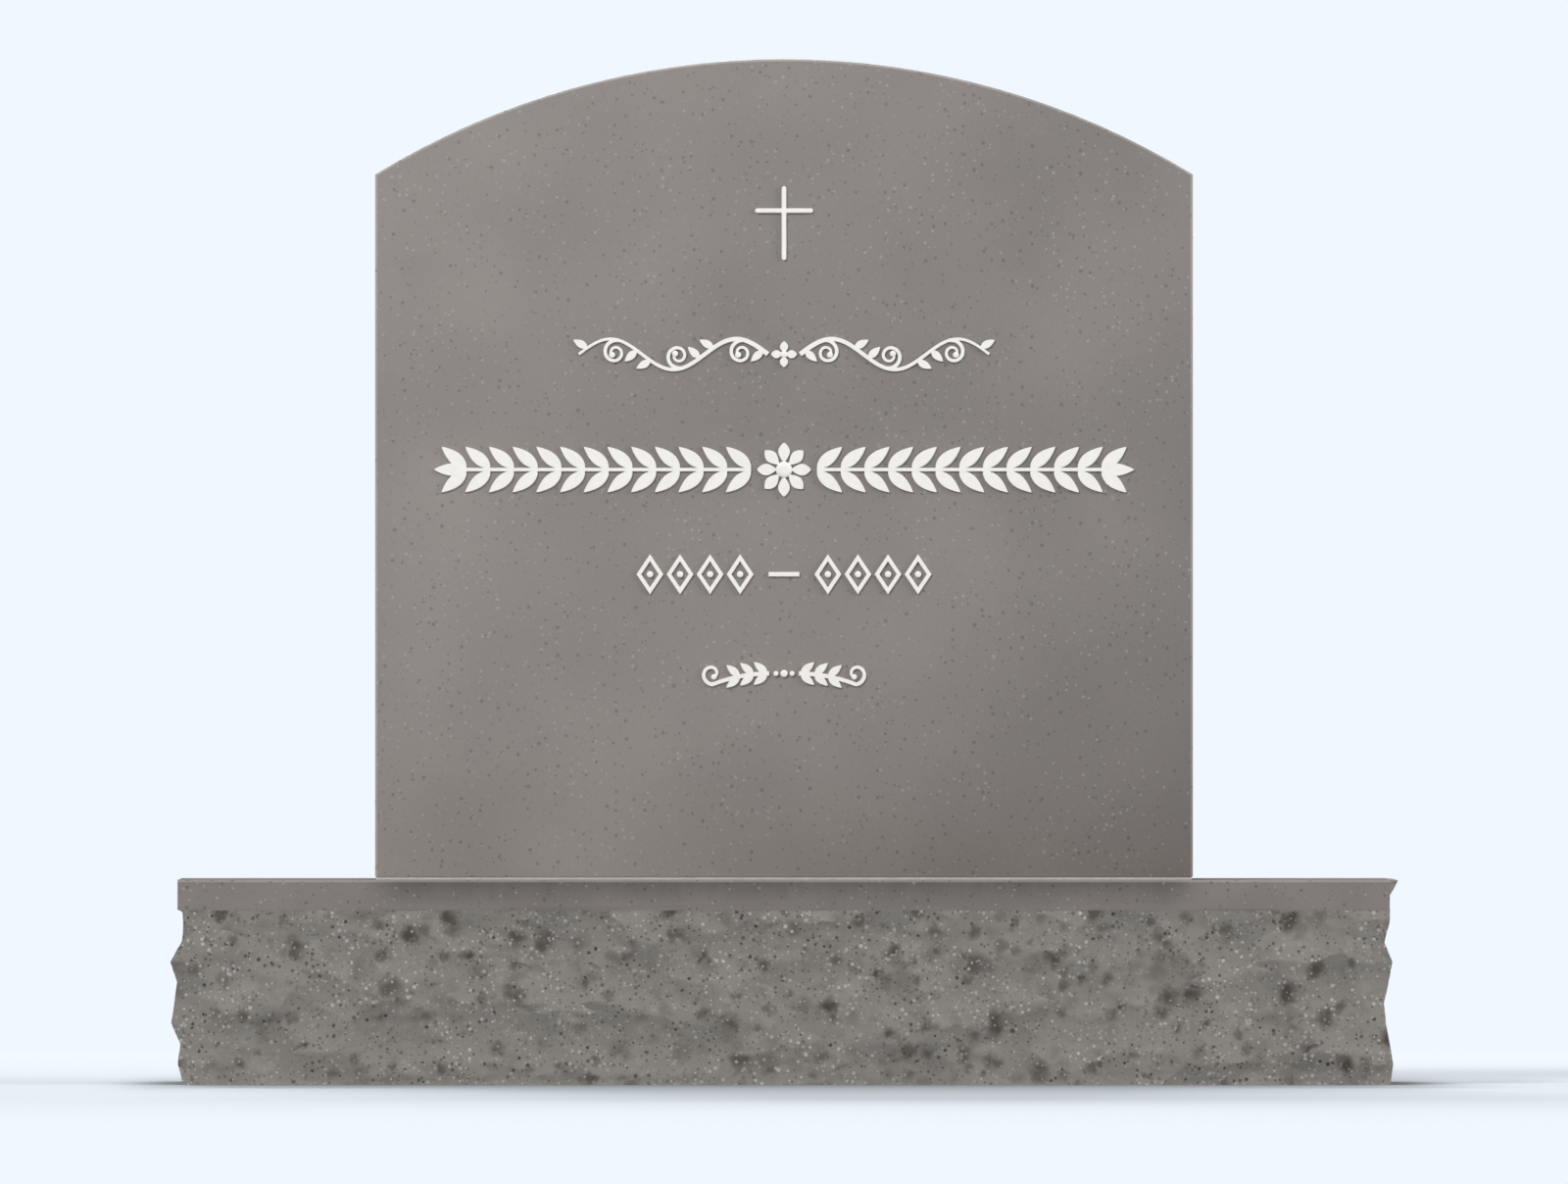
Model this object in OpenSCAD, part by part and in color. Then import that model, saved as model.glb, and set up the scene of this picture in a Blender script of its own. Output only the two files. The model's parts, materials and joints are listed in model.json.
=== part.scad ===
// Curved top headstone: an upright stone tablet with a raised cross, bedded on one
// rock-pitched base stone. The ground is z = 0, the front faces -Y, +X is to the
// right of someone who reads it, and all sizes are in millimetres.

/* [Tablet] */
// Width of the upright tablet
tablet_w = 609.6; // [450:0.1:700]
// Thickness of the tablet, front to back
tablet_t = 152.4; // [100:0.1:200]
// Height of the tablet from its foot to its shoulders
shoulder_h = 523.6; // [350:0.1:800]
// Rise of the curved top above the shoulders
crown_rise = 86; // [40:1:200]
// Width of the eased edge round the front and the back
tablet_arris = 1.5; // [0.5:0.1:4]

/* [Base] */
// Length over the rock-pitched ends
base_l = 914.4; // [850:0.1:1100]
// Depth over the rock-pitched front and back
base_d = 304.8; // [260:0.1:400]
// Height from the ground to the dressed top
base_h = 152.4; // [130:0.1:200]
// Height of the dressed margin under the top edge
margin_h = 22.6; // [12:0.1:32]
// Width of the eased edge round the top
base_arris = 1.6; // [0.5:0.1:4]

/* [Rock face] */
// How far the rock face may stand out past the dressed margin
rock_proud = 5.8; // [3:0.1:9]
// Spacing of the hollows that the pitching tool leaves
hollow_pitch = 36; // [28:1:60]
// Radius of the bowl that each hollow is broken to
bowl_r = 54; // [35:1:90]
// Length of a broken facet along the stone
facet_l = 12.5; // [11:0.5:30]
// Which of many like breaks is made
rock_seed = 11; // [1:1:99]

/* [Setting bed] */
// Thickness of the setting compound under the tablet
bed_t = 2; // [1:0.5:5]
// How far the compound stays back from the tablet's faces
bed_inset = 0.8; // [0.5:0.1:5]

/* [Cross] */
// Height of the raised cross
cross_h = 55.2; // [40:0.1:90]
// Width over the arms
cross_w = 43.3; // [30:0.1:70]
// Width of a bar
bar_w = 3.5; // [2.5:0.1:8]
// How far the cross stands out from the tablet
cross_proud = 2.4; // [1:0.1:5]
// Drop from the top of the cross to the middle of its arms
arm_drop = 18.2; // [10:0.1:25]
// Drop from the top of the tablet to the top of the cross
cross_drop = 94.8; // [60:0.1:150]

/* [Hidden] */
stone_base = [0.49, 0.47, 0.45];
stone_tablet = [0.54, 0.52, 0.50];
compound = [0.67, 0.66, 0.64];
warm_white = [0.96, 0.95, 0.93];

// Half sizes of the dressed block, which the rock stands out from
half_l = base_l / 2 - rock_proud;
half_d = base_d / 2 - rock_proud;
margin_z = base_h - margin_h;
// A block past the rock on every side
room = 20;

// Courses split the base's height, and the outline of its broken ends turns at them.
courses = 10;
course = base_h / courses;
// Outline of each end as [course, how far it stands out as a share of rock_proud]
left_end = [
    [0, -0.85], [1, 0], [2, -0.25], [3, 0.9], [5, 0.15], [6, 1], [7, -0.5], [8, -0.75], [9, -0.6]
];
right_end = [
    [0, 0], [1, 0.45], [3, -0.5], [4, -0.75], [5, 0], [6, 0.35], [7, -0.75], [8, 0], [9.25, 0], [10, 1.33]
];
// Each end has its outline at the front edge. Over this depth it turns into hollows, and
// this share of the outline runs on to the back.
end_fade = 34;
runs_on = 0.3;
// Steepest slope by which a face falls back below the line that it is pitched from
fall_back = 0.25;

// Rows of rock vertices from under the ground to over the top
rows_per_course = 2;
row_h = course / rows_per_course;
rock_rows = floor((margin_z - 2) / row_h);
row_z = concat(
    [-4],
    [for (k = [1 : rock_rows]) k * row_h],
    [margin_z + 0.1, margin_z + 0.8, margin_z + margin_h / 2, base_h + 1]
);
last_rock_row = rock_rows + 1;

// Facets along the front and along an end
cells_x = round(2 * half_l / facet_l);
cells_y = round(2 * half_d / facet_l);
loop_n = 2 * (cells_x + cells_y);
jitter = 0.28;

// Centres and floors of the hollows on one face, on a grid that is knocked about
function hollows(length, seed) = [
    for (i = [0 : ceil(length / hollow_pitch)], j = [0 : ceil(margin_z / hollow_pitch)])
        let (knock = rands(-0.42, 0.42, 3, seed + 97 * i + 13 * j))
        [
            (i + knock[0]) * hollow_pitch - length / 2,
            (j + knock[1]) * hollow_pitch,
            rock_proud * (knock[2] * 1.1 - 0.55)
        ]
];

// The rock is broken to the lowest of its bowls, so ridges stand between them.
function broken(u, z, bowls) = min(
    rock_proud,
    min([for (b = bowls) b[2] + (pow(u - b[0], 2) + pow(z - b[1], 2)) / (2 * bowl_r)])
);

front_bowls = hollows(base_l, rock_seed * 1000);
back_bowls = hollows(base_l, rock_seed * 1000 + 5000);
left_bowls = hollows(base_d, rock_seed * 1000 + 2500);
right_bowls = hollows(base_d, rock_seed * 1000 + 7500);

// How far the front (-1) or the back (1) stands out at x, z. Each face is pitched off from
// the foot of its margin, so there it is flush, and it may fall back only further down.
function face_out(side, x, z, row) =
    row > last_rock_row ? rock_proud + 2 :
    max((z - margin_z) * fall_back, broken(x, z, side < 0 ? front_bowls : back_bowls));

// How far the left (-1) or the right (1) end stands out at y, z
function end_out(side, y, z, row) =
    side < 0 && row > last_rock_row ? rock_proud + 2 :
    let (
        edge = rock_proud * lookup(z / course, side < 0 ? left_end : right_end),
        fade = min(1, (y + half_d) / end_fade),
        hollow = broken(y, min(z, margin_z), side < 0 ? left_bowls : right_bowls)
    )
    edge * (1 - fade * (1 - runs_on)) + fade * (hollow - runs_on * rock_proud);

// The k-th place round the stone, from the front left corner towards the right, as
// [x, y, side in x, side in y]: a corner has both sides, a face has one.
function station(k) =
    k <= cells_x ? [half_l * (2 * k / cells_x - 1), -half_d, k == 0 ? -1 : k == cells_x ? 1 : 0, -1] :
    k < cells_x + cells_y ? [half_l, half_d * (2 * (k - cells_x) / cells_y - 1), 1, 0] :
    k <= 2 * cells_x + cells_y ?
        let (i = k - cells_x - cells_y)
        [half_l * (1 - 2 * i / cells_x), half_d, i == 0 ? 1 : i == cells_x ? -1 : 0, 1] :
    [-half_l, half_d * (1 - 2 * (k - 2 * cells_x - cells_y) / cells_y), -1, 0];

function rock_point(k, row) =
    let (
        s = station(k),
        knock = rands(-jitter, jitter, 2, rock_seed + 31 * k + 7919 * row),
        corner = s[2] != 0 && s[3] != 0,
        in_rock = row > 0 && row < last_rock_row,
        z = row_z[row] + (corner || !in_rock ? 0 : knock[0] * row_h),
        along = corner ? 0 : knock[1] * facet_l,
        x = s[0] + (s[2] == 0 ? along : 0),
        y = s[1] + (s[3] == 0 ? along : 0)
    )
    [
        x + s[2] * (s[2] == 0 ? 0 : end_out(s[2], y, z, row)),
        y + s[3] * (s[3] == 0 ? 0 : face_out(s[3], x, z, row)),
        z
    ];

// The broken stone before its bed, top and margin are dressed: a closed skin of
// facets between the rows, with a fan from the middle at each end
module rock() {
    rows = len(row_z);
    points = [
        for (row = [0 : rows - 1], k = [0 : loop_n - 1]) rock_point(k, row),
        [0, 0, row_z[0]],
        [0, 0, row_z[rows - 1]]
    ];
    foot = rows * loop_n;
    head = foot + 1;
    skin = [
        for (row = [0 : rows - 2], k = [0 : loop_n - 1])
            let (
                a = row * loop_n + k,
                b = row * loop_n + (k + 1) % loop_n,
                c = b + loop_n,
                d = a + loop_n
            )
            for (face = (row + k) % 2 == 0 ? [[a, d, c], [a, c, b]] : [[a, d, b], [b, d, c]]) face
    ];
    foot_fan = [for (k = [0 : loop_n - 1]) [foot, k, (k + 1) % loop_n]];
    top_ring = (rows - 1) * loop_n;
    head_fan = [for (k = [0 : loop_n - 1]) [head, top_ring + (k + 1) % loop_n, top_ring + k]];
    polyhedron(points = points, faces = concat(skin, foot_fan, head_fan), convexity = 6);
}

// What the saw and the margin chisel leave, seen from the end: sawn bed and top, and
// a margin cut back along the front and the back
module dressed_section() {
    out = half_d + room;
    polygon([
        [-out, 0], [out, 0], [out, margin_z], [half_d, margin_z],
        [half_d, base_h - base_arris], [half_d - base_arris, base_h],
        [base_arris - half_d, base_h], [-half_d, base_h - base_arris],
        [-half_d, margin_z], [-out, margin_z]
    ]);
}

// The same seen from the front: the margin returns round the left end only
module dressed_front() {
    out = half_l + room;
    polygon([
        [-out, 0], [out, 0], [out, base_h], [base_arris - half_l, base_h],
        [-half_l, base_h - base_arris], [-half_l, margin_z], [-out, margin_z]
    ]);
}

module base() {
    color(stone_base)
    intersection() {
        rock();
        rotate([90, 0, 90])
            linear_extrude(2 * (half_l + room), center = true) dressed_section();
        rotate([90, 0, 0])
            linear_extrude(2 * (half_d + room), center = true) dressed_front();
    }
}

module setting_bed() {
    color(compound)
    translate([0, 0, base_h + bed_t / 2])
        cube([tablet_w - 2 * bed_inset, tablet_t - 2 * bed_inset, bed_t], center = true);
}

tablet_z = base_h + bed_t;
tablet_h = shoulder_h + crown_rise;
// Radius of the curve through both shoulders and the crown
crown_r = (pow(tablet_w / 2, 2) + pow(crown_rise, 2)) / (2 * crown_rise);

// Plan of the tablet, with its upright edges eased
module tablet_plan() {
    w = tablet_w / 2;
    t = tablet_t / 2;
    a = tablet_arris;
    polygon([
        [a - w, -t], [w - a, -t], [w, a - t], [w, t - a],
        [w - a, t], [a - w, t], [-w, t - a], [-w, a - t]
    ]);
}

// A drum whose rim is the curved top, with its two edges eased
module crown_drum() {
    a = tablet_arris;
    translate([0, tablet_t / 2, tablet_z + tablet_h - crown_r])
        rotate([90, 0, 0])
            rotate_extrude($fn = 720)
                polygon([
                    [0, 0], [crown_r - a, 0], [crown_r, a],
                    [crown_r, tablet_t - a], [crown_r - a, tablet_t], [0, tablet_t]
                ]);
}

module tablet() {
    color(stone_tablet)
    intersection() {
        translate([0, 0, tablet_z]) linear_extrude(tablet_h + 1) tablet_plan();
        crown_drum();
    }
}

// A bar along +Z with round ends and eased upper edges, that rises along -Y
module bar(length) {
    r = bar_w / 2;
    ease = min(r, cross_proud) * 0.35;
    flat = cross_proud - ease;
    for (z = [r, length - r])
        translate([0, 0, z])
            rotate([90, 0, 0])
                rotate_extrude($fn = 48)
                    polygon([[0, 0], [r, 0], [r, flat], [r - ease, cross_proud], [0, cross_proud]]);
    translate([0, 0, r])
        linear_extrude(length - 2 * r)
            polygon([
                [-r, 0], [-r, -flat], [ease - r, -cross_proud],
                [r - ease, -cross_proud], [r, -flat], [r, 0]
            ]);
}

module cross() {
    top = tablet_z + tablet_h - cross_drop;
    color(warm_white)
    translate([0, -tablet_t / 2, top - cross_h]) {
        bar(cross_h);
        translate([-cross_w / 2, 0, cross_h - arm_drop]) rotate([0, 90, 0]) bar(cross_w);
    }
}

base();
setting_bed();
tablet();
cross();
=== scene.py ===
"""Looks of the curved top headstone: stone finishes, rock face, raised ornaments and studio.

Lengths are in metres and angles in radians. A share is a part of 1.
"""

import json
import logging
import math
from abc import ABC, abstractmethod
from collections.abc import Callable, Sequence
from dataclasses import dataclass, field
from enum import Enum
from functools import cached_property, partial, reduce

import bpy
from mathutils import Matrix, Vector

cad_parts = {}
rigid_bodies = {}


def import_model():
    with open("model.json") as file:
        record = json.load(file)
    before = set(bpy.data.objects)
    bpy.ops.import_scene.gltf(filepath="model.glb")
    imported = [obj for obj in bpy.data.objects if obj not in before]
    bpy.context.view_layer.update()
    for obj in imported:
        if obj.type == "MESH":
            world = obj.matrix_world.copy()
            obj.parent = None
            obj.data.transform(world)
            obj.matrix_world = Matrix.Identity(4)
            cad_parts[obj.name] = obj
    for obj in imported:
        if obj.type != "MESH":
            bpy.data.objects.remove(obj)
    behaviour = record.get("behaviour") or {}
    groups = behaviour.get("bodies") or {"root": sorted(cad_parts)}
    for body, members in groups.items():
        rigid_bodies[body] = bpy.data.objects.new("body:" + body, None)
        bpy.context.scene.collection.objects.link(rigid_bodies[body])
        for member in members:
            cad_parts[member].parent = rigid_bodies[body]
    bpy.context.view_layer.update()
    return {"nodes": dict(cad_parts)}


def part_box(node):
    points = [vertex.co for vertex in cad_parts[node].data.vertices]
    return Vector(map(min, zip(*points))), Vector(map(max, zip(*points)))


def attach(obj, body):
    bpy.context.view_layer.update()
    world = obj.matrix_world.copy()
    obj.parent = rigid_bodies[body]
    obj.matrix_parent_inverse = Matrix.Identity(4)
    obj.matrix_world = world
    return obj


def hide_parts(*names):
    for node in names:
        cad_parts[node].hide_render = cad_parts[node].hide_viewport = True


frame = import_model()

LOG = logging.getLogger("headstone")
MM = 0.001
# A face is on a plane if it is nearer to it than this.
HAIR = 0.1 * MM
# The eased edges of the construction are narrower than this.
ARRIS = 3 * MM
BODY = "root"

Colour = tuple[float, float, float]
Point = tuple[float, float]
Place = tuple[Point, float]
Piece = bpy.types.Object
Face = bpy.types.MeshPolygon
Material = bpy.types.Material
Node = bpy.types.Node
Socket = bpy.types.NodeSocket
Value = Node | Socket | float | Sequence[float]


def srgb(*parts: int) -> Colour:
    """Turns a colour as a screen shows it, each part from 0 to 255, into linear light."""
    shares = [part / 255 for part in parts]
    return tuple(share / 12.92 if share <= 0.04045 else ((share + 0.055) / 1.055) ** 2.4 for share in shares)


def millimetres(*pairs: Point) -> tuple[Point, ...]:
    """Turns pairs in millimetres into pairs in metres."""
    return tuple((first * MM, second * MM) for first, second in pairs)


# ---- modelling helpers


def set_mode(mode: str) -> None:
    """Enters edit mode or goes back to object mode."""
    bpy.ops.object.mode_set(mode=mode)


def deselect_all() -> None:
    """Leaves edit mode and selects nothing."""
    if bpy.context.object and bpy.context.object.mode != "OBJECT":
        set_mode("OBJECT")
    bpy.ops.object.select_all(action="DESELECT")


def activate(piece: Piece, *others: Piece) -> None:
    """Selects pieces and makes the first the active one.

    Args:
        piece: The piece to make active.
        others: Further pieces to select.
    """
    deselect_all()
    for each in (piece, *others):
        each.select_set(True)
    bpy.context.view_layer.objects.active = piece


def settle(piece: Piece) -> None:
    """Moves a piece's place, turn and size into its mesh."""
    activate(piece)
    bpy.ops.object.transform_apply(location=True, rotation=True, scale=True)


def weld(piece: Piece, near: float) -> None:
    """Merges a piece's doubled points and turns its faces outwards.

    Args:
        piece: The piece.
        near: The distance within which points are doubles.
    """
    activate(piece)
    set_mode("EDIT")
    bpy.ops.mesh.select_all(action="SELECT")
    bpy.ops.mesh.remove_doubles(threshold=near)
    bpy.ops.mesh.normals_make_consistent(inside=False)
    set_mode("OBJECT")


def modify(piece: Piece, kind: str, **settings: object) -> None:
    """Adds a modifier to a piece and applies it.

    Args:
        piece: The piece.
        kind: The modifier's type.
        settings: The modifier's own properties.
    """
    activate(piece)
    modifier = piece.modifiers.new(kind.lower(), kind)
    for name, value in settings.items():
        setattr(modifier, name, value)
    bpy.ops.object.modifier_apply(modifier=modifier.name)


def smooth(piece: Piece, degrees: float) -> None:
    """Shades a piece smooth but for its edges of some degrees or more."""
    activate(piece)
    bpy.ops.object.shade_smooth_by_angle(angle=math.radians(degrees))


def join(name: str, parts: Sequence[Piece]) -> Piece:
    """Joins parts into one named piece at the origin.

    Args:
        name: The piece's name.
        parts: The parts, each with a mesh of its own.

    Returns:
        The joined piece.
    """
    for part in parts:
        settle(part)
    activate(parts[0], *parts[1:])
    bpy.ops.object.join()
    piece = bpy.context.object
    piece.name = name
    piece.data.name = name
    return piece


def copy_of(part: Piece) -> Piece:
    """Copies a part, mesh and all.

    Args:
        part: The part to copy.

    Returns:
        The copy, which is selected.
    """
    activate(part)
    bpy.ops.object.duplicate()
    return bpy.context.object


def take_node(node: str, name: str) -> Piece:
    """Makes a free, welded copy of a construction node to carve further.

    Args:
        node: The construction node's name.
        name: The new piece's name.

    Returns:
        The copy, with its doubles merged and no marks of the node.
    """
    piece = copy_of(frame["nodes"][node])
    bpy.ops.object.parent_clear(type="CLEAR_KEEP_TRANSFORM")
    for key in list(piece.keys()):
        del piece[key]
    piece.name = name
    piece.data.name = name
    bpy.ops.mesh.customdata_custom_splitnormals_clear()
    weld(piece, 0.01 * MM)
    return piece


def level(knots: Sequence[Point], at: float) -> float:
    """Reads a line drawn through knots.

    Args:
        knots: The knots as pairs, in rising order.
        at: The first value to read the line at.

    Returns:
        The second value there, or that of the nearest knot outside them.
    """
    for (start, low), (end, high) in zip(knots, knots[1:]):
        if at <= end:
            share = max(0.0, at - start) / (end - start)
            return low + (high - low) * share
    return knots[-1][1]


def select_faces(piece: Piece, wanted: Callable[[Face], bool]) -> int:
    """Selects the faces of a piece that pass a test, and enters edit mode.

    Args:
        piece: The piece.
        wanted: Says of a face whether it is selected.

    Returns:
        How many faces are selected.
    """
    activate(piece)
    set_mode("EDIT")
    bpy.ops.mesh.select_mode(type="FACE")
    bpy.ops.mesh.select_all(action="DESELECT")
    set_mode("OBJECT")
    count = 0
    for face in piece.data.polygons:
        face.select = wanted(face)
        count += face.select
    set_mode("EDIT")
    return count


def finish_piece(piece: Piece, slot: str, *stands_for: str) -> None:
    """Rides a piece on the stone and hides the construction nodes that it stands for.

    Args:
        piece: The finished piece.
        slot: The record's material slot; not used.
        stands_for: Construction nodes that the piece replaces.
    """
    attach(piece, BODY)
    if stands_for:
        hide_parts(*stands_for)
    LOG.info("%s: %d faces", piece.name, len(piece.data.polygons))


# ---- shader helper


class Sheet:
    """A node tree, built up in plain steps."""

    def __init__(self, owner: Material | bpy.types.World) -> None:
        """Starts an empty tree.

        Args:
            owner: The new material or world that the tree is for.
        """
        owner.use_nodes = True
        self.owner = owner
        self.tree = owner.node_tree
        self.tree.nodes.clear()

    @cached_property
    def place(self) -> Socket:
        """The place on the piece."""
        return self.add("ShaderNodeTexCoord").outputs["Object"]

    def add(self, kind: str, inputs: dict[str | int, Value] | None = None, **settings: object) -> Node:
        """Adds a node.

        Args:
            kind: The node's type.
            inputs: Values, sockets or nodes for its inputs, by name or number. A node stands for its
                first output.
            settings: The node's own properties.

        Returns:
            The node.
        """
        node = self.tree.nodes.new(kind)
        for key, value in settings.items():
            setattr(node, key, value)
        for key, value in (inputs or {}).items():
            socket = node.inputs[key]
            if isinstance(value, Node):
                value = value.outputs[0]
            if isinstance(value, Socket):
                self.tree.links.new(value, socket)
            elif socket.type == "RGBA" and len(value) == 3:
                socket.default_value = (*value, 1.0)
            else:
                socket.default_value = value
        return node

    def math(self, operation: str, first: Value, second: Value = 0.0, third: Value = 0.0) -> Node:
        """One step of arithmetic, such as MAXIMUM, on up to three values."""
        return self.add("ShaderNodeMath", {0: first, 1: second, 2: third}, operation=operation)

    def vector(self, operation: str, inputs: dict[str | int, Value]) -> Node:
        """One step of arithmetic, such as SCALE, on vectors or colours."""
        return self.add("ShaderNodeVectorMath", inputs, operation=operation)

    def product(self, *values: Value) -> Value:
        """The product of some values."""
        return reduce(partial(self.math, "MULTIPLY"), values)

    def highest(self, *values: Value) -> Value:
        """The highest of some values."""
        return reduce(partial(self.math, "MAXIMUM"), values)

    def past(self, value: Value, mark: float) -> Value:
        """The square of how far a value is past a mark, and 0 before it."""
        beyond = self.highest(self.math("SUBTRACT", value, mark), 0.0)
        return self.product(beyond, beyond)

    def split(self, vector: Value) -> Sequence[Socket]:
        """The x, y and z of a vector."""
        return self.add("ShaderNodeSeparateXYZ", {0: vector}).outputs

    def moved(self, way: Sequence[float]) -> Node:
        """The place on the piece, moved by a way."""
        return self.add("ShaderNodeMapping", {"Vector": self.place, "Location": way})

    def seen(self, *kinds: str) -> Value:
        """1 where a ray of one of some kinds meets the surface, else 0."""
        rays = self.add("ShaderNodeLightPath").outputs
        return self.highest(*(rays[f"Is {kind} Ray"] for kind in kinds))

    def fade(self, value: Value, low: float, high: float, at_low: float = 0.0, at_high: float = 1.0) -> Node:
        """Runs smoothly from at_low to at_high as a value goes from a low to a high mark."""
        marks = {0: value, 1: low, 2: high, 3: at_low, 4: at_high}
        return self.add("ShaderNodeMapRange", marks, interpolation_type="SMOOTHSTEP")

    def spread(self, cloud: Value, least: float, most: float) -> Node:
        """Spreads a cloud pattern, which keeps near its middle, between two values."""
        return self.fade(cloud, low=0.3, high=0.7, at_low=least, at_high=most)

    def edges(self, axis: int, least: float) -> Value:
        """Finds the slanted edges between the flat faces along an axis and those across it.

        Args:
            axis: The axis, 0 to 2.
            least: How far an edge at least faces along the axis, as a share.

        Returns:
            1 on the edges, falling to 0 on the flat faces.
        """
        turned = self.split(self.add("ShaderNodeNewGeometry").outputs["True Normal"])
        facing = turned[axis] if axis == 2 else self.math("ABSOLUTE", turned[axis])
        flat = self.fade(facing, low=0.85, high=0.95, at_low=1.0, at_high=0.0)
        return self.product(self.fade(facing, least, least + 0.2), flat)

    def noise(self, size: float, detail: float = 2.0, shift: float = 0.0) -> Node:
        """Clouds of a size with some finer layers, shifted so that two of a size differ."""
        place = self.moved((shift, 2 * shift, 3 * shift))
        return self.add("ShaderNodeTexNoise", {"Vector": place, "Scale": 1 / size, "Detail": detail})

    def scaled(self, vector: Value, factor: Value) -> Node:
        """Multiplies a colour or another vector by a number."""
        return self.vector("SCALE", {0: vector, "Scale": factor})

    def mix(self, factor: Value, first: Value, second: Value) -> Socket:
        """Mixes two colours by the share of the second."""
        return self.add("ShaderNodeMix", {0: factor, 6: first, 7: second}, data_type="RGBA").outputs[2]

    def bump(self, height: Value, depth: float) -> Node:
        """A bump from a height, of which 1 stands for a depth."""
        return self.add("ShaderNodeBump", {"Height": height, "Distance": depth, "Strength": 1.0})

    def close(self, colour: Value, roughness: Value, normal: Value, gloss: float) -> Material:
        """Puts the surface together and ends the material.

        Args:
            colour: The base colour.
            roughness: The roughness.
            normal: The bumped normal.
            gloss: The specular level.

        Returns:
            The material.
        """
        inputs = {"Base Color": colour, "Roughness": roughness, "Specular IOR Level": gloss, "Normal": normal}
        surface = self.add("ShaderNodeBsdfPrincipled", inputs)
        self.add("ShaderNodeOutputMaterial", {"Surface": surface})
        return self.owner


# ---- finishes


@dataclass(frozen=True)
class Specks:
    """Grains of one kind that show where the stone is cut through them.

    Attributes:
        spacing: Distance between grains.
        radius: Radius of a grain.
        strength: How much a full grain lightens or darkens, as a share.
        shift: Moves the pattern, so that two kinds don't coincide.
        wobble: How far the outline of a grain is pushed about.
        soft: Width of a grain's edge as a share of its radius.
        flock: Size of the patches where the grains gather, or 0 if they lie evenly.
    """

    spacing: float
    radius: float
    strength: float
    shift: float
    wobble: float
    soft: float
    flock: float = 0.0

    def mask(self, sheet: Sheet) -> Value:
        """Where the grains show.

        Args:
            sheet: The material's sheet.

        Returns:
            From 0 off the grains to strength on the strongest ones.
        """
        push = sheet.noise(self.radius * 1.6, shift=self.shift).outputs["Color"]
        centred = sheet.vector("SUBTRACT", {0: push, 1: (0.5, 0.5, 0.5)})
        small = sheet.scaled(centred, 2 * self.wobble)
        place = sheet.vector("ADD", {0: sheet.moved((self.shift,) * 3), 1: small})
        cells = sheet.add("ShaderNodeTexVoronoi", {"Vector": place, "Scale": 1 / self.spacing}).outputs
        chance = sheet.add("ShaderNodeSeparateColor", {0: cells["Color"]}).outputs
        radius = self.radius / self.spacing
        least, more = 0.55, 0.7
        size = sheet.math("MULTIPLY_ADD", chance[0], more * radius, least * radius)
        reach = sheet.math("DIVIDE", cells["Distance"], size)
        grain = sheet.fade(reach, 1 - self.soft / 2, 1 + self.soft / 2, at_low=1.0, at_high=0.0)
        least, more = 0.25, 0.75
        power = sheet.math("MULTIPLY_ADD", chance[1], more * self.strength, least * self.strength)
        if self.flock:
            cloud = sheet.noise(self.flock, detail=1.0, shift=self.shift + 0.5)
            power = sheet.product(power, sheet.fade(cloud, low=0.36, high=0.56, at_low=0.15))
        return sheet.product(grain, power)


@dataclass(frozen=True)
class Clouds:
    """Slow light and dark clouds in a stone.

    Attributes:
        size: Size of a cloud.
        swing: How much they change the tone, as a share.
        cut: Where in the endless pattern the stone is cut.
    """

    size: float
    swing: float
    cut: tuple[float, float, float]

    def tone(self, sheet: Sheet) -> Node:
        """The clouds' factor on the tone."""
        inputs = {"Vector": sheet.moved(self.cut), "Scale": 1 / self.size, "Detail": 1.5}
        return sheet.spread(sheet.add("ShaderNodeTexNoise", inputs), 1 - self.swing, 1 + self.swing)


@dataclass(frozen=True)
class Granite:
    """A grey granite, from its ground tone to its grains.

    Attributes:
        name: The material's name.
        tone: Ground colour in linear light.
        dark: The dark grains, and large soft dark patches if the cut shows them.
        light: The light grains.
        clouds: Slow clouds of one size or more.
        roughness: Roughness of the cut.
        gloss: Specular level of the cut.
        dark_tone: Colour of a full dark grain.
        light_tone: Colour of a full light grain.
        grain_depth: Depth of the fine grain.
    """

    name: str
    tone: Colour
    dark: Sequence[Specks]
    light: Sequence[Specks]
    clouds: Sequence[Clouds]
    roughness: float
    gloss: float
    dark_tone: Colour = srgb(52, 49, 47)
    light_tone: Colour = srgb(206, 204, 200)
    grain_depth: float = 0.1 * MM

    def drift(self, sheet: Sheet) -> Value:
        """Slow change of tone across the stone, none by default."""
        return 1.0

    def material(self) -> Material:
        """Builds the material.

        Returns:
            The material.
        """
        sheet = Sheet(bpy.data.materials.new(self.name))
        flour = sheet.noise(1.1 * MM, shift=0.3)
        fine = sheet.fade(flour, low=0.25, high=0.75, at_low=0.96, at_high=1.04)
        tone = sheet.product(self.drift(sheet), *(clouds.tone(sheet) for clouds in self.clouds), fine)
        dark = sheet.highest(0.0, *(grains.mask(sheet) for grains in self.dark))
        light = sheet.highest(0.0, *(grains.mask(sheet) for grains in self.light))
        colour = sheet.mix(dark, sheet.scaled(self.tone, tone), self.dark_tone)
        colour = sheet.mix(light, colour, self.light_tone)
        height = sheet.math("SUBTRACT", sheet.product(flour, 0.6), sheet.product(dark, 0.5))
        swing = 0.07
        rough = sheet.fade(flour, 0.2, 0.8, self.roughness - swing, self.roughness + swing)
        return sheet.close(colour, rough, sheet.bump(height, self.grain_depth), self.gloss)


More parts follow.
